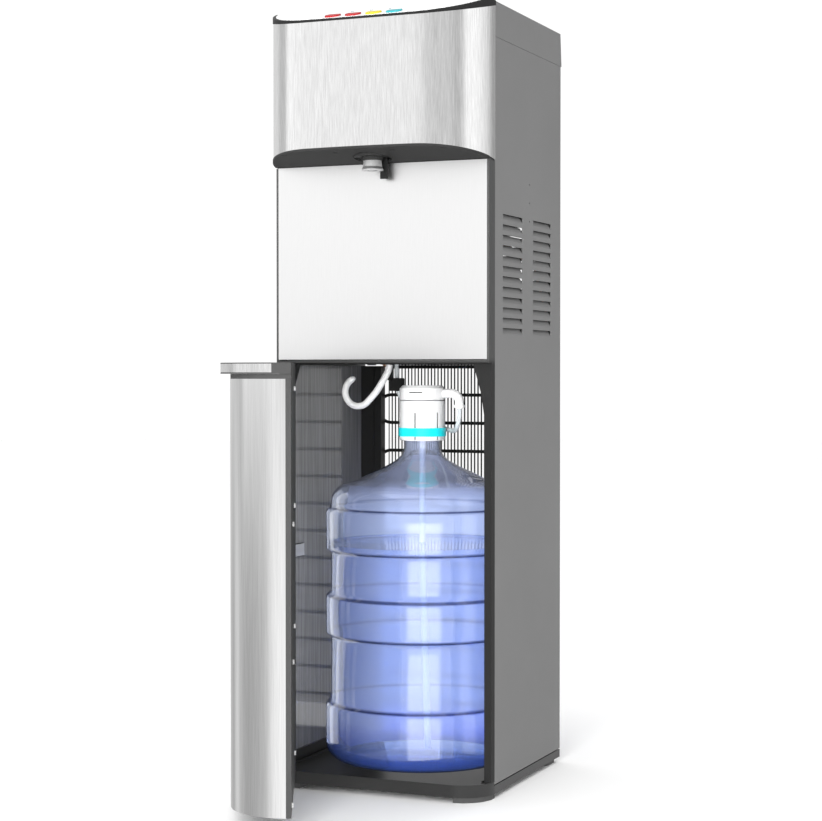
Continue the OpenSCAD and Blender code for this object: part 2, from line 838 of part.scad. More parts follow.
module drain_cap() {
    color("darkgray") difference() {
        union() {
            rod_y(90, 905, 289.6, 305, 10.5);
            for (i = [0 : 11]) rotate_about_drain(i * 30) rod_y(100.5, 905, 290, 304, 1);
        }
        rod_y(90, 905, 280, 302.2, 7.1);
    }
}
module rotate_about_drain(angle) {
    translate([90, 0, 905]) rotate([0, angle, 0]) translate([-90, 0, -905]) children();
}

// ---------------------------------------------------------------- bottle and probe

ring_r = bottle_d / 2;
body_r = ring_r - 7;
bottle_low = pan_floor + 0.05;

// Half section of the bottle, pulled in by the wall when it is the inside.
module bottle_section(wall) {
    neck = 25.4 - wall;
    ring = ring_r - wall;
    body = body_r - wall;
    floor_z = bottle_low + wall;
    heel = 22;
    polygon(concat(
        [[0, floor_z]],
        [for (a = [-90 : 15 : 0]) [ring - heel + heel * cos(a), floor_z + heel + heel * sin(a)]],
        [[ring, 100], [body, 104], [body, 194], [ring - 0.5, 197], [ring - 0.5, 248]],
        [[body, 252], [body, 308], [ring, 312], [ring, 366], [body, 372], [body, 376]],
        [for (a = [0 : 12 : 60]) [body - 40 + 40 * cos(a), 376 + 30 * sin(a)]],
        [[78 - wall, 414], [50 - wall, 424], [34 - wall, 434], [neck + 2, 441], [neck, 446]],
        wall > 0 ? [[neck, 520], [0, 520]] : [[neck, 500], [0, 500]]
    ));
}

module bottle() {
    wall = 1.8;
    color("royalblue") translate([0, bottle_y, 0]) rotate_extrude($fn = 120) difference() {
        bottle_section(0);
        bottle_section(wall);
    }
}

module water() {
    color("lightskyblue") translate([0, bottle_y, 0]) difference() {
        rotate_extrude($fn = 120) intersection() {
            bottle_section(1.85);
            square([200, water_level]);
        }
        straw(0.1);
    }
}

straw_tip = [8, 0, 34];
straw_knee = [0, 0, 322];

module straw(extra) {
    r = 4.4 + extra;
    lean_way = straw_knee - straw_tip;
    translate(straw_tip)
        rotate([0, acos(lean_way[2] / norm(lean_way)), atan2(lean_way[1], lean_way[0])])
        translate([0, 0, -extra]) cylinder(h = norm(lean_way) + extra, r = r, $fn = 48);
    translate(straw_knee) sphere(r = r, $fn = 48);
    translate([0, 0, straw_knee[2]]) cylinder(h = 501 - straw_knee[2], r = r, $fn = 48);
}

module probe_straw() color("whitesmoke") translate([0, bottle_y, 0]) straw(0);

cap_r = 31.5;
module probe_cap() {
    color("white") translate([0, bottle_y, 0]) difference() {
        union() {
            rotate_extrude($fn = 96) polygon([
                [0, 501], [27, 501], [26.2, 461], [cap_r - 1.5, 461], [cap_r, 462.5],
                [cap_r, 515.4], [cap_r - 0.8, 515.8], [cap_r - 0.8, 517], [cap_r, 517.4],
                [cap_r, 533], [cap_r - 4, 537], [0, 537]
            ]);
        }
        // locking slots
        for (a = [-86 : 60 : 214]) {
            rotate([0, 0, a]) block([cap_r - 2.2, -0.9, 462], [cap_r + 2, 0.9, 500]);
        }
        // grip slit
        rotate([0, 0, -85]) block([cap_r - 3, -9.5, 526.4], [cap_r + 2, 9.5, 528]);
        translate([0, 0, 460]) cylinder(h = 41, r = 25.6);
        translate([0, 0, 490]) cylinder(h = 11.1, r = 4.5);
    }
}

module probe_band() {
    color("cyan") translate([0, bottle_y, 467]) difference() {
        cylinder(h = 11.5, r = cap_r + 1.4, $fn = 96);
        translate([0, 0, -1]) cylinder(h = 14, r = cap_r, $fn = 96);
    }
}

elbow_end = [55, bottle_y, 505];

module probe_elbow() {
    r = 6.2;
    color("white") translate([0, bottle_y, 0]) {
        translate([0, 0, 526]) rotate([0, 90, 0]) difference() {
            cylinder(h = 43, r = r);
            translate([0, 0, -1]) cylinder(h = cap_r + 1, r = r + 2);
        }
        translate([43, 0, 514]) rotate([90, 0, 0]) bend(12, r, 90);
        translate([55, 0, 510]) cylinder(h = 4, r = r);
        translate([55, 0, 506.5]) cylinder(h = 4, r = 7.6);
        translate([55, 0, 505]) cylinder(h = 2, r = 4.6);
    }
}

// Route of the clear hose from the probe's elbow, behind the cap and up through the shelf.
hose_route = [
    [55, 143.5, 505], [55, 143.5, 500], [54, 145, 490], [50, 149, 482], [45, 156, 476], [38, 164, 474],
    [28, 172, 475], [14, 178, 478], [0, 180, 482], [-14, 180, 488], [-26, 178, 496], [-36, 175, 506],
    [-43, 171, 518], [-47, 168, 531], [-48, 166, 544], [-48, 165, 556], [-48, 165, 570],
    [-46, 164, 580], [-41, 161, 588], [-34, 157, 594], [-25, 152, 597], [-10, 143, 599], [12, 135, 601],
    [34, 132, 605], [50, 133, 609], [63, 135, 612], [75, 133, 612], [85, 125, 612], [90, 114, 612],
    [90, 110, 612]
];

module probe_hose() color("azure") run(hose_route, 3.2);

module probe_hook() {
    y = bottle_y - 1.5;
    under_shelf = alcove_low + 0.35;
    curl = arc_points(-97, y, 527.6, 20, 105, 315, 16);
    reach = [
        [-77, y, 519.6], [-70, y, 527], [-63, y, 537], [-56, y, 548], [-51, y, 557], [-49, y, 566]
    ];
    color("white") run(concat(curl, reach), 4.7, 12);
    // plate under the shelf, and the clip that guides the hose
    color([0.12, 0.1, 0.1]) {
        block([-60, y - 8, 565.8], [-38, y + 8, under_shelf]);
        block([-55, y + 10, 529], [-33.6, y + 18, 547]);
        block([-55, y + 6, 544], [-50, y + 18, under_shelf]);
    }
}

// ---------------------------------------------------------------- door

strap_t = 3;
upper_strap_z = 548.5;
lower_strap_z = 20;

// A strap with a round end round the hinge axis and its pin.
module hinge_strap(z, pin_low, pin_high) {
    rod_z(hinge[0], hinge[1], z, z + strap_t, strap_r);
    block([hinge[0] - strap_r, hinge[1], z], [hinge[0] + strap_r, frame_front, z + strap_t]);
    rod_z(hinge[0], hinge[1], pin_low, pin_high, hinge_pin_r);
}

module hinge_brackets() {
    color("dimgray") {
        hinge_strap(lower_strap_z, lower_strap_z + 1, 36);
        hinge_strap(upper_strap_z, 538, upper_strap_z + 1);
    }
}

module hinge_bore(low, high) rod_z(hinge[0], hinge[1], low, high, hinge_pin_r + hinge_gap);

module door_skin() {
    color(steel_colour) opened() translate([0, 0, door_bottom]) linear_extrude(door_top - door_bottom)
        d_wall(door_w, door_corner, door_corner_y, 0, 0, 1.2);
}

module door_liner() {
    low = door_bottom + 0.1;
    hollow_x = door_w - 3.4;
    color(dark_plastic) opened() difference() {
        union() {
            // rim and inner face
            block([-door_w, 0.1, low], [door_w, door_back, door_top]);
            // flange that the skin wraps
            translate([0, 0, low]) linear_extrude(door_top - low) intersection() {
                d_wall(door_w, door_corner, door_corner_y, 0.5, 1.3, 2);
                translate([-200, -20]) square([400, 30]);
            }
            // end plates and hinge bosses
            for (z = [low, door_top - 3]) translate([0, 0, z]) linear_extrude(3) door_outline(0.5, 1.3);
            for (z = [low + 1, 534]) translate([0, 0, z]) linear_extrude(12.4) intersection() {
                door_outline(0.5, 1.3);
                translate(hinge) square([16, 60], center = true);
            }
        }
        // hollow behind the inner face
        block([-hollow_x + 12, -1, low + 3], [hollow_x, 2.8, door_top - 3]);
        hinge_bore(low - 1, 37);
        hinge_bore(536, door_top + 5);
        for (p = screw_places) rod_y(p[0], p[1], door_back - 2, door_back + 1, 1.85);
    }
}

module door_cap() {
    color(dark_plastic) opened() difference() {
        cap_h = ledge_low - door_top - 0.2;
        translate([0, 0, door_top + 0.1]) linear_extrude(cap_h) door_outline(door_back, 0.4);
        // room that the fixed upper strap sweeps as the door turns
        block([-170, hinge[1] - 7, 540], [hinge[0] + 5.6, door_back + 1, 560]);
    }
}

module door_ledge() {
    floor_z = 556;
    color(dark_plastic) opened() difference() {
        translate([0, 0, ledge_low]) linear_extrude(ledge_high - ledge_low) ledge_outline(door_back, 0);
        // groove that holds the steel trim
        translate([0, 0, 554.6]) linear_extrude(10.6) difference() {
            ledge_outline(-16.5, -2);
            ledge_outline(30, 0.9);
        }
        // pocket for the drip tray
        translate([0, 0, floor_z]) linear_extrude(20) tray_outline(0);
    }
}

module tray_outline(inset) {
    intersection() {
        ledge_outline(-6 - inset, 9 + inset);
        translate([-122 + inset, -100]) square([244 - 2 * inset, 200]);
    }
}

module ledge_trim() {
    color(steel_colour) opened() translate([0, 0, 554.7]) linear_extrude(10.4)
        d_wall(ledge_w, ledge_corner, ledge_corner_y, -16.6, 0, 0.85);
}

screw_places = [[-34, 534], [-25, 385], [-16, 232], [-36, 66], [62, 368], [56, 197], [130, 36]];

module liner_screws() {
    color("white") opened() for (p = screw_places) {
        rod_y(p[0], p[1], door_back + 0.05, door_back + 2.2, 3);
        rod_y(p[0], p[1], door_back - 1.5, door_back + 0.1, 1.8);
    }
}

module drip_tray() {
    color(dark_plastic) opened() difference() {
        translate([0, 0, 556.05]) linear_extrude(10.4) tray_outline(0.4);
        translate([0, 0, 557.8]) linear_extrude(20) tray_outline(2.4);
        translate([0, 0, 564.9]) linear_extrude(20) tray_outline(1.4);
    }
}

module drip_grille() {
    color("silver") opened() difference() {
        translate([0, 0, 564.95]) linear_extrude(1.5) tray_outline(1.6);
        for (x = [-108 : 9 : 108]) block([x - 2.2, -48, 560], [x + 2.2, -8, 570]);
    }
}

base_pan();
feet();
front_frame();
alcove_panel();
side_panel_left();
side_panel_right();
top_cover();
side_liners();
rear_posts();
partition_shelf();
rear_panel();
condenser_tube();
condenser_wires();
compressor();
compressor_grommets();
start_relay();
refrigerant_lines();
cold_tank();
cold_tank_insulation();
hot_tank();
hot_tank_jacket();
water_pump();
dispense_valves();
water_lines();
control_board();
head_shell();
head_underside();
panel_gasket();
control_panel();
indicator_lights();
spout_body();
spout_nozzle();
paddle_hinge();
switch_housing();
power_gland();
drain_spigot();
drain_cap();
bottle();
water();
probe_cap();
probe_band();
probe_elbow();
probe_straw();
probe_hose();
probe_hook();
hinge_brackets();
door_skin();
door_liner();
door_cap();
door_ledge();
ledge_trim();
liner_screws();
drip_tray();
drip_grille();
button_hot();
button_extra_hot();
button_room();
button_cold();
dispense_paddle();
heat_switch();
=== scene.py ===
import json
from math import cos, pi, radians, sin

import bmesh
import bpy
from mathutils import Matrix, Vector


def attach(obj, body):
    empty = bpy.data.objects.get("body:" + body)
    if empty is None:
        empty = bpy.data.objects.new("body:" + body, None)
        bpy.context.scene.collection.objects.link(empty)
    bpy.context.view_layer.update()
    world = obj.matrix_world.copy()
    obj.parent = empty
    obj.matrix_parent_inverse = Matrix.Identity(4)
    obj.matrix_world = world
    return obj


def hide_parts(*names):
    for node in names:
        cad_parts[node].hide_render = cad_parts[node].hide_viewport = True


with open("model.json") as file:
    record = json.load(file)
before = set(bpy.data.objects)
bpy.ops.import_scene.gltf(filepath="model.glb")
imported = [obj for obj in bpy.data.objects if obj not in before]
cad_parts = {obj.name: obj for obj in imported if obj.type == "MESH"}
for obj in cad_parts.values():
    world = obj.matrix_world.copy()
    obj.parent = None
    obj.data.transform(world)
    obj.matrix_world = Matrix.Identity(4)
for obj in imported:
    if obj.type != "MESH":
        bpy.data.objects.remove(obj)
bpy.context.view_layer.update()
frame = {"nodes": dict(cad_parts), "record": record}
nodes = frame["nodes"]
scene = bpy.context.scene
MM = 0.001

# ---------------------------------------------------------------- camera

CAMERA_PLACE = (1.0185, -2.3017, 0.55265)
CAMERA_TILT = 88.909
CAMERA_TURN = 22.953
FOCAL_LENGTH = 83.82

camera_data = bpy.data.cameras.new("camera")
camera_data.lens = FOCAL_LENGTH
camera_data.sensor_width = 36.0
camera_data.sensor_fit = "HORIZONTAL"
camera = bpy.data.objects.new("camera", camera_data)
camera.location = CAMERA_PLACE
camera.rotation_euler = (radians(CAMERA_TILT), 0, radians(CAMERA_TURN))
scene.collection.objects.link(camera)
scene.camera = camera
scene.view_settings.view_transform = "Standard"

# ---------------------------------------------------------------- material helpers


# Height of every fine grain, streak or stripe, in metres.
GRAIN_HEIGHT = 0.0002
MATERIALS = {}


class Shader:
    """A node material kept in MATERIALS under its name, with short calls for the nodes it uses."""

    def __init__(self, name):
        self.material = bpy.data.materials.new(name)
        self.material.use_nodes = True
        self.tree = self.material.node_tree
        self.surface = self.tree.nodes["Principled BSDF"]
        MATERIALS[name] = self.material

    def node(self, kind):
        return self.tree.nodes.new(kind)

    def link(self, out, into):
        self.tree.links.new(out, into)

    def set(self, **values):
        for key, value in values.items():
            self.surface.inputs[key.replace("_", " ")].default_value = value

    def position(self, stretch=(1, 1, 1)):
        """The point in the object's own frame, in metres, stretched along each axis."""
        coords = self.node("ShaderNodeTexCoord")
        scaled = self.node("ShaderNodeMapping")
        scaled.inputs["Scale"].default_value = stretch
        self.link(coords.outputs["Object"], scaled.inputs["Vector"])
        return scaled.outputs["Vector"]

    def noise(self, scale, detail, stretch=(1, 1, 1), rough=0.5):
        made = self.node("ShaderNodeTexNoise")
        made.inputs["Scale"].default_value = scale
        made.inputs["Detail"].default_value = detail
        made.inputs["Roughness"].default_value = rough
        self.link(self.position(stretch), made.inputs["Vector"])
        return made.outputs["Fac"]

    def ramp(self, value, stops):
        made = self.node("ShaderNodeValToRGB")
        elements = made.color_ramp.elements
        elements[0].position, elements[0].color = stops[0][0], (*stops[0][1], 1)
        elements[1].position, elements[1].color = stops[-1][0], (*stops[-1][1], 1)
        for place, colour in stops[1:-1]:
            elements.new(place).color = (*colour, 1)
        self.link(value, made.inputs["Fac"])
        return made.outputs["Color"]

    def spread(self, value, low, high):
        made = self.node("ShaderNodeMapRange")
        made.inputs["To Min"].default_value = low
        made.inputs["To Max"].default_value = high
        self.link(value, made.inputs["Value"])
        return made.outputs["Result"]

    def bump(self, height, strength):
        made = self.node("ShaderNodeBump")
        made.inputs["Strength"].default_value = strength
        made.inputs["Distance"].default_value = GRAIN_HEIGHT
        self.link(height, made.inputs["Height"])
        self.link(made.outputs["Normal"], self.surface.inputs["Normal"])


def grey(v):
    return (v, v, v)


def moulded(name, low, high, rough=0.45, grain=900, strength=0.12, coat=0.0, specular=0.5):
    """Plastic, rubber or paint: a faint mottle of colour and a fine moulded or sprayed grain."""
    s = Shader(name)
    s.set(Roughness=rough, Coat_Weight=coat, Coat_Roughness=0.08, Specular_IOR_Level=specular)
    s.link(s.ramp(s.noise(9, 4), [(0.3, low), (0.7, high)]), s.surface.inputs["Base Color"])
    s.bump(s.noise(grain, 2), strength)


def brushed(name, low, high, rough=0.2, contrast=0.04, anisotropy=0.3, scale=620, stretch=(1, 1, 0.05)):
    """Steel brushed along Z: long thin streaks of a slightly different tone and roughness."""
    s = Shader(name)
    s.set(Metallic=1.0, Anisotropic=anisotropy)
    streaks = s.noise(scale, 4, stretch, 0.65)
    s.link(s.ramp(streaks, [(0.32, low), (0.68, high)]), s.surface.inputs["Base Color"])
    s.link(s.spread(streaks, rough - contrast, rough + contrast), s.surface.inputs["Roughness"])
    s.bump(streaks, 0.05)


def clear(name, colour, ior, rough, coat=0.0, clarity=1.0):
    """A clear, tinted plastic or water; below full clarity the rest of the light is scattered."""
    s = Shader(name)
    s.set(Base_Color=(*colour, 1), IOR=ior, Transmission_Weight=clarity)
    s.set(Coat_Weight=coat, Coat_Roughness=0.03)
    s.link(s.spread(s.noise(14, 2), rough, rough + 0.02), s.surface.inputs["Roughness"])


# Heights on the bottle, in millimetres: the steps between its rings and its body, where the painted shade
# of its lower end fades out, where the tone of its shoulder fades in, and its mouth.
RING_STEPS = (102, 196, 249, 311, 369)
HEEL_SHADE_FADE = (38, 85)
SHOULDER_FADE = (380, 400)
BOTTLE_TOP = 500
# The painted shade line along a step: full tone this far to each side of it, and gone this far out, in
# millimetres.
SHADE_LINE_FULL = 0.7
SHADE_LINE_GONE = 2.0
# Where the painted shade on the bottle's outline starts and where it is darkest, by how far the surface
# faces away.
RIM_SHADE_START = 0.72
RIM_SHADE_FULL = 0.92


def ringed(name, colour, painted_shade, ior, rough, coat, clarity):
    """The bottle's plastic, with painted shade: a dark line at each step of a ring, a deeper lower end and
    a dark rim; also a greyer shoulder.
    """
    s = Shader(name)
    s.set(IOR=ior, Transmission_Weight=clarity, Coat_Weight=coat, Coat_Roughness=0.03, Roughness=rough)
    split = s.node("ShaderNodeSeparateXYZ")
    s.link(s.position((1, 1, 1000 / BOTTLE_TOP)), split.inputs["Vector"])
    # Painted shade: the lower end of the bottle in a much deeper tone.
    heel_shade = tuple(c ** 4 for c in colour)
    stops = [(0.0, heel_shade), (HEEL_SHADE_FADE[0] / BOTTLE_TOP, heel_shade), (HEEL_SHADE_FADE[1] / BOTTLE_TOP, colour)]
    # Painted shade: a dark line along each step between a ring and the body.
    shade_line = ((-SHADE_LINE_GONE, colour), (-SHADE_LINE_FULL, painted_shade), (SHADE_LINE_FULL, painted_shade), (SHADE_LINE_GONE, colour))
    for step in RING_STEPS:
        for offset, tone in shade_line:
            stops.append(((step + offset) / BOTTLE_TOP, tone))
    shoulder = tuple(0.38 + 0.42 * c * c for c in colour)
    stops.append((SHOULDER_FADE[0] / BOTTLE_TOP, colour))
    stops.append((SHOULDER_FADE[1] / BOTTLE_TOP, shoulder))
    stops.append((1.0, shoulder))
    # Painted shade: the colour turns dark towards the outline, where the surface faces away.
    weight = s.node("ShaderNodeLayerWeight")
    rim_shade = s.node("ShaderNodeMapRange")
    rim_shade.inputs["From Min"].default_value = RIM_SHADE_START
    rim_shade.inputs["From Max"].default_value = RIM_SHADE_FULL
    s.link(weight.outputs["Facing"], rim_shade.inputs["Value"])
    mix = s.node("ShaderNodeMixRGB")
    mix.inputs["Color2"].default_value = (*painted_shade, 1)
    s.link(rim_shade.outputs["Result"], mix.inputs["Fac"])
    s.link(s.ramp(split.outputs["Z"], stops), mix.inputs["Color1"])
    s.link(mix.outputs["Color"], s.surface.inputs["Base Color"])


def two_tone(name, low_tone, high_tone, from_z, to_z):
    """Moulded plastic that is one tone below a height and another above it, in metres."""
    s = Shader(name)
    s.set(Roughness=0.55, Specular_IOR_Level=0.15)
    split = s.node("ShaderNodeSeparateXYZ")
    s.link(s.position(), split.inputs["Vector"])
    tones = s.ramp(split.outputs["Z"], [(from_z, low_tone), (to_z, high_tone)])
    s.link(tones, s.surface.inputs["Base Color"])
    s.bump(s.noise(900, 2), 0.12)


def lined(name, low, high):
    """Dark glossy lining with fine upright stripes."""
    s = Shader(name)
    s.set(Roughness=0.12, Coat_Weight=1.0, Coat_Roughness=0.05)
    stripes = s.noise(420, 2, (1, 1, 0.02))
    s.link(s.ramp(stripes, [(0.35, low), (0.65, high)]), s.surface.inputs["Base Color"])
    s.bump(stripes, 0.1)


brushed("brushed_steel", grey(0.67), grey(0.87), 0.16, scale=700)
brushed("brushed_door", grey(0.73), grey(0.81), 0.16, stretch=(1, 1, 0.02))
brushed("brushed_panel", grey(0.96), grey(0.99), 0.35, 0.03, 0.1)
brushed("plain_steel", grey(0.5), grey(0.58), 0.35)
brushed("polished_nozzle", grey(0.94), grey(0.98), 0.55)
moulded("dark_plastic", grey(0.048), grey(0.054), 0.55, specular=0.15)
two_tone("frame_plastic", grey(0.018), grey(0.062), 0.566, 0.572)
# Painted shade: a darker copy of dark_plastic for the head's underside and the spout, which face down.
moulded("shaded_underside_plastic", grey(0.026), grey(0.030), 0.55, specular=0.08)
moulded("black_base", grey(0.012), grey(0.018), 0.32, 700, 0.3, specular=0.45)
moulded("foot_rubber", grey(0.05), grey(0.06), 0.7)
moulded("grey_paint", grey(0.160), grey(0.170), 0.5, 600, specular=0.3)
moulded("grey_plastic", grey(0.160), grey(0.170), 0.5, 600, specular=0.3)
lined("gloss_black", grey(0.20), grey(0.30))
moulded("catch_grey", grey(0.55), grey(0.6), 0.35)
moulded("black_paint", grey(0.006), grey(0.009), 0.35)
moulded("black_plastic", grey(0.012), grey(0.016), 0.5, specular=0.15)
moulded("black_rubber", grey(0.012), grey(0.016), 0.7)
moulded("black_iron", grey(0.01), grey(0.014), 0.25, 200, 0.06, 0.3)
moulded("dark_steel", grey(0.06), grey(0.075), 0.4)
brushed("zinc_sheet", grey(0.5), grey(0.56), 0.45, 0.05, 0.0, 20, (1, 1, 1))
brushed("copper_tube", (0.7, 0.35, 0.2), (0.78, 0.42, 0.26), 0.3)
moulded("white_foam", grey(0.8), grey(0.86), 0.85, 250, 0.4)
moulded("grey_foam", grey(0.45), grey(0.52), 0.85, 250, 0.4)
moulded("ivory_plastic", (0.75, 0.72, 0.6), (0.8, 0.77, 0.66), 0.4)
moulded("green_board", (0.01, 0.14, 0.04), (0.02, 0.2, 0.06), 0.35)
moulded("white_plastic", grey(0.93), grey(0.95), 0.3, 500, 0.03, 0.3)
moulded("cyan_band", (0.01, 0.86, 0.95), (0.02, 0.95, 1.0), 0.35, 400, 0.03)
moulded("red_button", (0.36, 0.01, 0.015), (0.44, 0.02, 0.02), 0.4, 400, 0.03, specular=0.1)
moulded("yellow_button", (0.62, 0.50, 0.02), (0.70, 0.58, 0.03), 0.4, 400, 0.03, specular=0.1)
moulded("teal_button", (0.03, 0.33, 0.37), (0.04, 0.40, 0.44), 0.4, 400, 0.03, specular=0.1)
moulded("red_rocker", (0.5, 0.02, 0.02), (0.58, 0.03, 0.03), 0.25, 400, 0.03, 0.4)
clear("lamp_plastic", (0.8, 0.92, 1.0), 1.45, 0.1)
clear("clear_silicone", (0.88, 0.92, 0.94), 1.25, 0.2, 0.2, 0.4)
# The second colour of each bottle finish is the painted shade of its step lines and outline.
ringed("blue_bottle", (0.62, 0.70, 0.89), (0.02, 0.04, 0.16), 1.4, 0.03, 0.3, 0.9)
ringed("blue_bottle_back", (0.62, 0.69, 0.93), (0.2, 0.25, 0.5), 1.2, 0.5, 0.0, 0.85)
clear("water", (0.32, 0.45, 0.80), 1.03, 0.0, 0.0, 0.95)
clear("straw", (0.62, 0.68, 0.82), 1.1, 0.3, 0.0, 0.5)

# ---------------------------------------------------------------- mesh helpers


def add(name, mesh, material, smooth_angle=30):
    """A new piece from a bmesh, in metres."""
    data = bpy.data.meshes.new(name)
    mesh.to_mesh(data)
    mesh.free()
    for face in data.polygons:
        face.use_smooth = True
    data.set_sharp_from_angle(angle=radians(smooth_angle))
    piece = bpy.data.objects.new(name, data)
    scene.collection.objects.link(piece)
    data.materials.append(MATERIALS[material])
    return piece


def lathe(profile, steps=128):
    """A bmesh of a closed profile of (radius, height), in millimetres, turned round the bottle's axis."""
    mesh = bmesh.new()
    rings = []
    for i in range(steps):
        a = 2 * pi * i / steps
        rings.append([
            mesh.verts.new((r * cos(a) * MM, (BOTTLE_Y + r * sin(a)) * MM, z * MM))
            for r, z in profile
        ])
    for i in range(steps):
        here, there = rings[i], rings[(i + 1) % steps]
        for k in range(len(profile)):
            n = (k + 1) % len(profile)
            mesh.faces.new((here[k], there[k], there[n], here[n]))
    bmesh.ops.remove_doubles(mesh, verts=mesh.verts, dist=1e-6)
    bmesh.ops.recalc_face_normals(mesh, faces=mesh.faces)
    return mesh


def smooth_path(points, steps):
    """More points along a Catmull-Rom curve through the given ones."""
    ends = [points[0] * 2 - points[1], *points, points[-1] * 2 - points[-2]]
    path = []
    for a, b, c, d in zip(ends, ends[1:], ends[2:], ends[3:]):
        for i in range(steps):
            t = i / steps
            path.append(0.5 * (
                2 * b + (c - a) * t + (2 * a - 5 * b + 4 * c - d) * t ** 2
                + (3 * b - a - 3 * c + d) * t ** 3
            ))
    path.append(points[-1])
    return path


def tube(name, path, radius, material, taper=None):
    """A round tube along a path, with rounded ends where taper is given."""
    curve = bpy.data.curves.new(name, "CURVE")
    curve.dimensions = "3D"
    curve.bevel_depth = radius
    curve.bevel_resolution = 6
    curve.use_fill_caps = True
    spline = curve.splines.new("POLY")
    spline.points.add(len(path) - 1)
    for i, (point, p) in enumerate(zip(spline.points, path)):
        point.co = (*p, 1)
        point.radius = taper(i, len(path)) if taper else 1
    piece = bpy.data.objects.new(name, curve)
    scene.collection.objects.link(piece)
    curve.materials.append(MATERIALS[material])
    return piece


def box_piece(name, low, high, bevel, material):
    """A box with rounded edges, its corners given in millimetres."""
    mesh = bmesh.new()
    bmesh.ops.create_cube(mesh, size=1)
    for v in mesh.verts:
        v.co = Vector([(lo + (c + 0.5) * (hi - lo)) * MM for lo, hi, c in zip(low, high, v.co)])
    bmesh.ops.bevel(mesh, geom=mesh.edges, offset=bevel * MM, segments=3, affect="EDGES")
    return add(name, mesh, material)


# ---------------------------------------------------------------- hose of the probe

HOSE_R = 3.2 * MM
HOSE_ROUTE = [
    (55, 143.5, 505), (55, 143.5, 500), (54, 145, 490), (50, 149, 482), (45, 156, 476), (38, 164, 474),
    (28, 172, 475), (14, 178, 478), (0, 180, 482), (-14, 180, 488), (-26, 178, 496), (-36, 175, 506),
    (-43, 171, 518), (-47, 168, 531), (-48, 166, 544), (-48, 165, 556), (-48, 165, 570),
    (-46, 164, 580), (-41, 161, 588), (-34, 157, 594), (-25, 152, 597), (-10, 143, 599), (12, 135, 601),
    (34, 132, 605), (50, 133, 609), (63, 135, 612), (75, 133, 612), (85, 125, 612), (90, 114, 612),
    (90, 110, 612),
]
hose_path = smooth_path([Vector(p) * MM for p in HOSE_ROUTE], 4)
hose = tube("probe_hose_tube", hose_path, HOSE_R, "clear_silicone")
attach(hose, "cabinet")
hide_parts("probe_hose")

# ---------------------------------------------------------------- finishes of the CAD pieces

for part in frame["record"]["subparts"]:
    piece = nodes[part["node"]]
    piece.data.materials.clear()
    piece.data.materials.append(MATERIALS[part["material_slot"]])

# The head's underside and the spout get the darker copy of the dark plastic, as painted shade.
SPECIAL_FINISHES = {
    "probe_straw": "straw", "door_skin": "brushed_door", "front_frame": "frame_plastic",
    "head_underside": "shaded_underside_plastic", "spout_body": "shaded_underside_plastic",
}
for node, finish in SPECIAL_FINISHES.items():
    nodes[node].data.materials[0] = MATERIALS[finish]

# ---------------------------------------------------------------- bottle and water

BOTTLE_Y = 143.5
BOTTLE_LOW = 22.05
RING_R = 133.5
BODY_R = 126.5
NECK_R = 25.4
HEEL_R = 22
BOTTLE_STEPS = 160
WALL = 1.8
# The frosted back of the bottle: how far behind its axis it starts, and how high it reaches, in metres.
BACK_START = (BOTTLE_Y + 20) * MM
BACK_TOP = 0.44


def bottle_profile(inset):
    """Half outline of the bottle from the middle of its floor to its mouth, pulled in by inset."""
    floor = BOTTLE_LOW + inset
    ring, body, neck = RING_R - inset, BODY_R - inset, NECK_R - inset
    points = [(0.0, floor + 7), (70, floor + 6.5), (98, floor + 1.5)]
    for a in (radians(d) for d in range(0, 91, 10)):
        points.append((ring - HEEL_R + HEEL_R * sin(a), floor + HEEL_R - HEEL_R * cos(a)))
    for low, high in ((None, 100), (196, 249), (312, 366)):
        if low:
            points += [(body, low - 7), (body + 1.5, low - 3.5), (ring - 1.2, low), (ring, low + 3)]
        points += [(ring, high - 3), (ring - 1.2, high), (body + 1.2, high + 4), (body, high + 7)]
    points += [(body - 40 + 40 * cos(a), 378 + 28 * sin(a)) for a in (radians(d) for d in range(8, 61, 8))]
    points += [(90 - inset, 406), (72 - inset, 415.5), (52 - inset, 424.5), (37 - inset, 433)]
    points += [(29.5 - inset, 440), (neck + 0.8, 446), (neck, 452), (neck, 499.8)]
    return points


outer = bottle_profile(0)
inner = bottle_profile(WALL)
shell = lathe(outer + inner[::-1], BOTTLE_STEPS)
bottle = add("bottle_shell", shell, "blue_bottle", smooth_angle=60)
bottle.data.materials.append(MATERIALS["blue_bottle_back"])
for face in bottle.data.polygons:
    if face.center.y > BACK_START and face.center.z < BACK_TOP:
        face.material_index = 1
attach(bottle, "cabinet")
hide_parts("bottle")

WATER_LEVEL = 321
WATER_GAP = 0.3
below = [p for p in bottle_profile(WALL + WATER_GAP) if p[1] < WATER_LEVEL]
water_r = below[-1][0]
surface = [(water_r, WATER_LEVEL - 0.6), (water_r - 1.5, WATER_LEVEL - 1), (0.0, WATER_LEVEL - 1)]
water = add("water_body", lathe(below + surface, BOTTLE_STEPS), "water", smooth_angle=60)
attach(water, "cabinet")
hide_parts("water")

# ---------------------------------------------------------------- hook and hose clip

HOOK_Y = 142
HOOK_R = 4.7
CURL_X = -97
CURL_Z = 527.6
CURL_R = 20
CURL_START = 105
CURL_TURN = 210
CURL_STEPS = 16
curl_angles = [radians(CURL_START + CURL_TURN * i / CURL_STEPS) for i in range(CURL_STEPS + 1)]
curl = [Vector((CURL_X + CURL_R * cos(a), HOOK_Y, CURL_Z + CURL_R * sin(a))) for a in curl_angles]
reach = [Vector((x, HOOK_Y, z)) for x, z in ((-70, 527), (-63, 537), (-56, 548), (-51, 557), (-49, 566))]
hook_path = smooth_path([p * MM for p in curl + reach], 3)


def round_start(i, count):
    """Radius factor that rounds the first end of a tube."""
    return min(1.0, (0.25 + i / 4) ** 0.5)


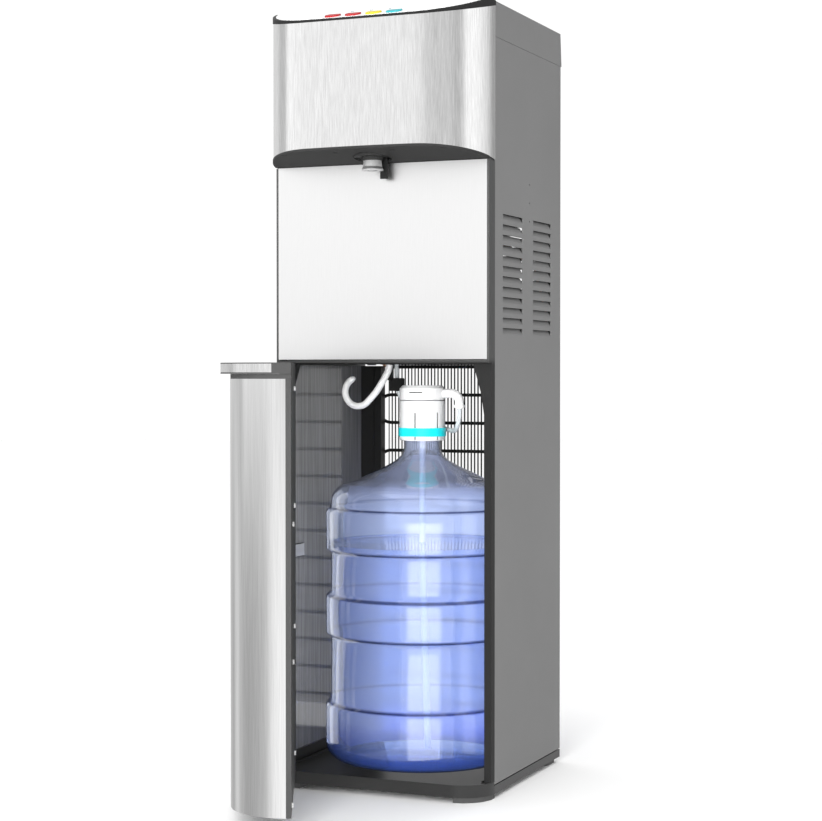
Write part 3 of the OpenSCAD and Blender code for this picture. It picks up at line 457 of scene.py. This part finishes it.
hook = tube("hook_rod", hook_path, HOOK_R * MM, "white_plastic", round_start)
plate = box_piece("hook_plate", (-60, HOOK_Y - 8, 565.8), (-38, HOOK_Y + 8, 570.9), 0.6, "black_plastic")
clip = box_piece("hose_clip", (-55, HOOK_Y + 10, 529), (-33.6, HOOK_Y + 18, 547), 0.8, "black_plastic")
stem = box_piece("hose_clip_stem", (-55, HOOK_Y + 6, 544), (-50, HOOK_Y + 18, 570.9), 0.6, "black_plastic")
for piece in (hook, plate, clip, stem):
    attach(piece, "cabinet")
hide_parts("probe_hook")

# ---------------------------------------------------------------- painted shade in the cap's slots, and the cap's seam

CAP_R = 31.5
STRIP_T = 0.9
# Angle, half width, lower end, upper end and depth under the cap's surface, in degrees and millimetres.
LOCKING_SLOTS = [(-86 + 60 * i, 0.85, 462.5, 499.5, 0.35) for i in range(6)]
GRIP_SLIT = (-85, 9.2, 526.5, 527.9, 1.8)


def slot_shade_strips():
    """Thin dark strips in the cap's locking slots and in its grip slit, as painted shade at the bottom of
    each.
    """
    mesh = bmesh.new()
    section = ((-STRIP_T, -1), (0, -1), (0, 1), (-STRIP_T, 1))
    for angle, half_width, low, high, depth in (*LOCKING_SLOTS, GRIP_SLIT):
        a = radians(angle)
        out = Vector((cos(a), sin(a), 0))
        along = Vector((-sin(a), cos(a), 0))
        corners = [
            (out * (CAP_R - depth + step) + along * side * half_width + Vector((0, BOTTLE_Y, z))) * MM
            for z in (low, high) for step, side in section
        ]
        v = [mesh.verts.new(c) for c in corners]
        for ring in ((3, 2, 1, 0), (4, 5, 6, 7), (0, 1, 5, 4), (1, 2, 6, 5), (2, 3, 7, 6), (3, 0, 4, 7)):
            mesh.faces.new([v[k] for k in ring])
    bmesh.ops.recalc_face_normals(mesh, faces=mesh.faces)
    return mesh


# Painted shade: dark strips put in the cap's slots, where there is only shade.
slot_shade_piece = add("cap_slot_shade", slot_shade_strips(), "black_plastic")
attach(slot_shade_piece, "cabinet")

SEAM_R = (CAP_R - 0.8, CAP_R - 0.35)
SEAM_Z = (515.9, 516.9)
seam_outline = [
    (SEAM_R[0], SEAM_Z[0]), (SEAM_R[1], SEAM_Z[0]), (SEAM_R[1], SEAM_Z[1]), (SEAM_R[0], SEAM_Z[1]),
]
seam = add("cap_seam", lathe(seam_outline), "grey_plastic")
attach(seam, "cabinet")

# ---------------------------------------------------------------- catch plate of the door

catch = box_piece("catch_plate", (-143.3, 22, 303.5), (-142.7, 63.5, 320), 0.2, "catch_grey")
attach(catch, "cabinet")

# ---------------------------------------------------------------- floor and light

FLOOR_HALF = 14
BACKDROP_R = 13.9

floor_mesh = bmesh.new()
bmesh.ops.create_grid(floor_mesh, x_segments=1, y_segments=1, size=FLOOR_HALF)
floor = add("floor", floor_mesh, "white_foam")
moulded("floor", grey(0.95), grey(0.96), 0.9, 20, 0.0)
floor.data.materials[0] = MATERIALS["floor"]
floor.visible_glossy = False

backdrop_mesh = bmesh.new()
bmesh.ops.create_uvsphere(backdrop_mesh, u_segments=48, v_segments=24, radius=BACKDROP_R)
backdrop = add("backdrop", backdrop_mesh, "white_foam")
white = Shader("backdrop")
white.set(Base_Color=(0, 0, 0, 1), Emission_Color=(1, 1, 1, 1), Emission_Strength=1.0)
backdrop.data.materials[0] = white.material
for unseen_by in ("visible_diffuse", "visible_glossy", "visible_transmission", "visible_shadow"):
    setattr(backdrop, unseen_by, False)

world = bpy.data.worlds.new("world")
scene.world = world
world.use_nodes = True
background = world.node_tree.nodes["Background"]

# Brightness of the studio round the object, by direction in degrees from straight in front, positive to
# the left: above the horizon, and below it.
STUDIO_ABOVE = [
    (-180, 0.5), (-159, 0.38), (-138, 0.86), (-119, 1.08), (-105, 1.22), (-84, 1.22), (-76, 0.75),
    (-66, 0.6), (-52, 0.74), (-20, 0.76), (-8, 0.82), (4, 1.02), (30, 1.1), (60, 1.16), (72, 1.25),
    (82, 0.64), (96, 0.62), (112, 0.85), (180, 0.7),
]
STUDIO_BELOW = [
    (-180, 0.6), (-90, 1.15), (-12, 1.2), (6, 1.1), (14, 0.92), (24, 0.62), (40, 0.52), (64, 0.46),
    (76, 0.52), (88, 0.62), (96, 0.86), (106, 0.7), (114, 0.45), (140, 0.7), (180, 0.6),
]
# Between these heights of a direction the lower bands turn into the upper ones, and these into the ceiling.
HORIZON = (-0.12, 0.06)
CEILING = (0.3, 0.75)
CEILING_LEVEL = 1.15


def world_node(kind, *sources, operation=None, values=()):
    """A node of the world's tree, with its inputs linked to sockets or set to values."""
    made = world.node_tree.nodes.new(kind)
    if operation:
        made.operation = operation
    for place, source in enumerate(sources):
        if source is not None:
            world.node_tree.links.new(source, made.inputs[place])
    for place, value in values:
        made.inputs[place].default_value = value
    return made


def bands(direction, levels):
    """Brightness by direction round the object."""
    made = world_node("ShaderNodeValToRGB", direction)
    elements = made.color_ramp.elements
    for element, (angle, level) in zip(elements, (levels[0], levels[-1])):
        element.position = (angle + 180) / 360
        element.color = (*grey(level), 1)
    for angle, level in levels[1:-1]:
        elements.new((angle + 180) / 360).color = (*grey(level), 1)
    return made.outputs["Color"]


def studio():
    """A studio whose walls are bright and dark in turn, and whose ceiling is evenly bright."""
    coords = world_node("ShaderNodeTexCoord")
    split = world_node("ShaderNodeSeparateXYZ", coords.outputs["Generated"])
    left = world_node("ShaderNodeMath", split.outputs["X"], operation="MULTIPLY", values=[(1, -1)])
    front = world_node("ShaderNodeMath", split.outputs["Y"], operation="MULTIPLY", values=[(1, -1)])
    turn = world_node("ShaderNodeMath", left.outputs[0], front.outputs[0], operation="ARCTAN2")
    direction = world_node("ShaderNodeMapRange", turn.outputs[0], values=[(1, -pi), (2, pi)])
    height = split.outputs["Z"]
    rise = world_node("ShaderNodeMapRange", height, values=[(1, HORIZON[0]), (2, HORIZON[1])])
    walls = world_node(
        "ShaderNodeMixRGB", rise.outputs["Result"], bands(direction.outputs["Result"], STUDIO_BELOW),
        bands(direction.outputs["Result"], STUDIO_ABOVE),
    )
    dome = world_node("ShaderNodeMapRange", height, values=[(1, CEILING[0]), (2, CEILING[1])])
    dome.interpolation_type = "SMOOTHSTEP"
    whole = world_node(
        "ShaderNodeMixRGB", dome.outputs["Result"], walls.outputs["Color"],
        values=[(2, (*grey(CEILING_LEVEL), 1))],
    )
    world.node_tree.links.new(whole.outputs["Color"], background.inputs["Color"])


studio()
background.inputs["Strength"].default_value = 1.0


def softbox(name, place, target, size, power):
    """A rectangular lamp of a size in metres and a power in watts, turned to its target."""
    data = bpy.data.lights.new(name, "AREA")
    data.shape = "RECTANGLE"
    data.size, data.size_y = size
    data.energy = power
    light = bpy.data.objects.new(name, data)
    light.location = place
    light.rotation_euler = (Vector(target) - Vector(place)).to_track_quat("-Z", "Y").to_euler()
    light.visible_glossy = False
    scene.collection.objects.link(light)
    return light


softbox("key", (-1.6, -2.4, 1.5), (0, 0.1, 0.5), (0.7, 1.8), 18)
softbox("front", (0.55, -2.6, 0.9), (0, 0.15, 0.35), (0.8, 1.2), 60)
softbox("low", (0.45, -2.2, 0.12), (0, 0.15, 0.5), (1.0, 0.4), 24)

# Strip lights that light only the bottle and give it its upright highlights: one wide one in front and one
# on each side wall of the compartment.
shine = bpy.data.collections.new("shine")
shine.objects.link(bottle)
WALL_X = 0.1452
strips = [
    softbox("strip_front", (0.95, -1.95, -0.1), (0, 0.14, -0.1), (1.5, 1.7), 30),
    softbox("strip_left", (-WALL_X, 0.062, 0.22), (0, 0.062, 0.22), (0.04, 0.44), 0.08),
    softbox("strip_right", (WALL_X, 0.048, 0.22), (0, 0.048, 0.22), (0.03, 0.44), 0.05),
]
for strip in strips:
    strip.visible_glossy = True
    strip.visible_camera = False
    strip.light_linking.receiver_collection = shine
    strip.light_linking.blocker_collection = shine
for clear_piece in (bottle, water):
    clear_piece.visible_shadow = False
for hidden in (bottle, water, hook, nodes["probe_straw"]):
    hidden.visible_glossy = False
